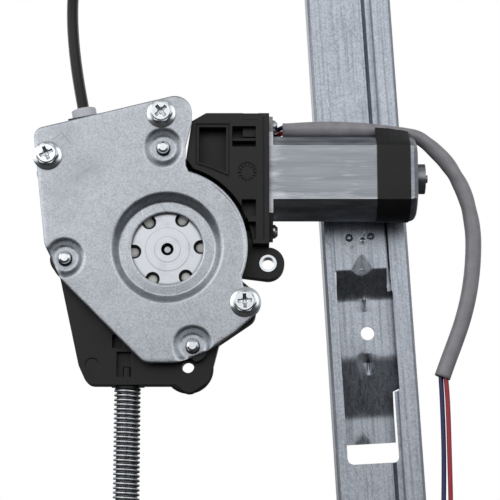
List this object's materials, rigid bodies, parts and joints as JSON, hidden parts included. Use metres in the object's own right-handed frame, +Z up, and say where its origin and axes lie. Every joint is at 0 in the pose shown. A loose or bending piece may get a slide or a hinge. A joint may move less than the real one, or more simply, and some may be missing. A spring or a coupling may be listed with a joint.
{
  "type": "window regulator",
  "caption": "Cable-operated vehicle window regulator with a worm-gear motor and drum unit, conduits, a steel guide rail and a glass carrier.",
  "frame": {"origin": "centre of the fixing hole in the rail bracket's set-back face, halfway through its sheet", "axes": "+Z up along the door, +X towards the motor's end, +Y from the drum cover to the glass side"},
  "size_m": [0.2384, 0.0693, 0.5238],
  "materials": {
    "zinc_plate": "dull zinc plating, satin",
    "zinc_bright": "bright zinc plating",
    "galvanised_can": "galvanised, brushed along its length",
    "rail_zinc": "zinc plating, satin",
    "disc_steel": "fine blanked steel",
    "black_moulding": "moulded glass-filled plastic, matt",
    "conduit_black": "extruded polyethylene, matt",
    "grey_sleeve": "soft PVC sleeve, semi-matt",
    "tape_black": "PVC tape, slight gloss",
    "wire_blue": "wire insulation",
    "wire_red": "wire insulation",
    "natural_nylon": "natural nylon",
    "ferrule_grey": "light grey moulding",
    "black_rubber": "moulded rubber",
    "spring_steel": "drawn spring wire",
    "cable_steel": "stranded galvanised cable",
    "bronze_bush": "sintered bronze",
    "ground_steel": "ground steel",
    "core_steel": "stacked lamination",
    "copper_wire": "enamelled copper",
    "ferrite": "sintered ferrite",
    "holder_brown": "phenolic board",
    "carbon": "pressed carbon",
    "carrier_zinc": "zinc plating, satin",
    "contact_tin": "tinned brass"
  },
  "bodies": {
    "root": {"drum_cover_plate": "zinc_plate", "cover_screws": "zinc_bright", "fixing_screws": "zinc_bright", "drum_housing": "black_moulding", "axle_pin": "ground_steel", "gearbox_housing": "black_moulding", "gearbox_lid": "black_moulding", "lid_screws": "zinc_bright", "ear_bush": "zinc_bright", "gearbox_shaft_bush": "bronze_bush", "can_shaft_bush": "bronze_bush", "thrust_button": "natural_nylon", "motor_can": "galvanised_can", "field_magnets": "ferrite", "brush_holder": "holder_brown", "carbon_brushes": "carbon", "brush_springs": "spring_steel", "motor_screws": "zinc_bright", "tape_wrap": "tape_black", "wire_grommet": "black_rubber", "harness_sleeve": "grey_sleeve", "blue_wire": "wire_blue", "red_wire": "wire_red", "harness_connector": "natural_nylon", "connector_pins": "contact_tin", "upper_ferrule": "ferrule_grey", "upper_conduit": "conduit_black", "lower_ferrule": "black_moulding", "spring_collar": "black_moulding", "conduit_spring": "spring_steel", "lower_conduit": "conduit_black", "feed_cables": "cable_steel", "rail": "rail_zinc", "rail_bracket": "rail_zinc", "top_pulley_pin": "zinc_bright", "top_guard": "black_moulding", "bottom_pulley_pin": "zinc_bright", "bottom_guard": "black_moulding", "rail_ferrules": "black_moulding", "lift_cable": "cable_steel", "bump_stops": "black_rubber"},
    "armature": {"armature_shaft": "ground_steel", "worm": "ground_steel", "armature_core": "core_steel", "armature_windings": "copper_wire", "commutator": "copper_wire"},
    "drum": {"notched_disc": "disc_steel", "cable_drum": "natural_nylon", "drum_cable_turns": "cable_steel", "output_driver": "ground_steel", "rubber_damper": "black_rubber", "worm_wheel": "natural_nylon", "wheel_bush": "bronze_bush"},
    "carrier": {"glass_carrier": "carrier_zinc", "carrier_shoes": "natural_nylon", "cable_anchor": "zinc_bright", "cable_nipples": "contact_tin", "carrier_rivets": "zinc_bright"},
    "top_pulley_wheel": {"top_pulley": "natural_nylon"},
    "bottom_pulley_wheel": {"bottom_pulley": "natural_nylon"}
  },
  "joints": [
    {"name": "armature_spin", "type": "hinge", "parent": "root", "child": "armature", "pos_m": [-0.1009, -0.0301, 0.0745], "axis": [-1, 0, 0], "range_deg": [0, 46304.3]},
    {"name": "drum_spin", "type": "hinge", "parent": "root", "child": "drum", "pos_m": [-0.1009, -0.0407, 0.0351], "axis": [0, -1, 0], "range_deg": [0, 702.6]},
    {"name": "carrier_slide", "type": "slide", "parent": "root", "child": "carrier", "axis": [-0.0558, 0, 0.9984], "range_m": [0, 0.301]},
    {"name": "top_pulley_spin", "type": "hinge", "parent": "root", "child": "top_pulley_wheel", "pos_m": [-0.01503, -0.0027, 0.23653], "axis": [0, -1, 0], "range_deg": [0, 905.7]},
    {"name": "bottom_pulley_spin", "type": "hinge", "parent": "root", "child": "bottom_pulley_wheel", "pos_m": [0.00976, -0.0027, -0.20678], "axis": [0, -1, 0], "range_deg": [0, 905.7]}
  ],
  "couplings": [
    {"joint": "drum_spin", "follows": "armature_spin", "ratio": 0.015152},
    {"joint": "carrier_slide", "follows": "armature_spin", "m_per_rad": 0.00037121},
    {"joint": "top_pulley_spin", "follows": "armature_spin", "ratio": 0.019537},
    {"joint": "bottom_pulley_spin", "follows": "armature_spin", "ratio": 0.019537}
  ]
}
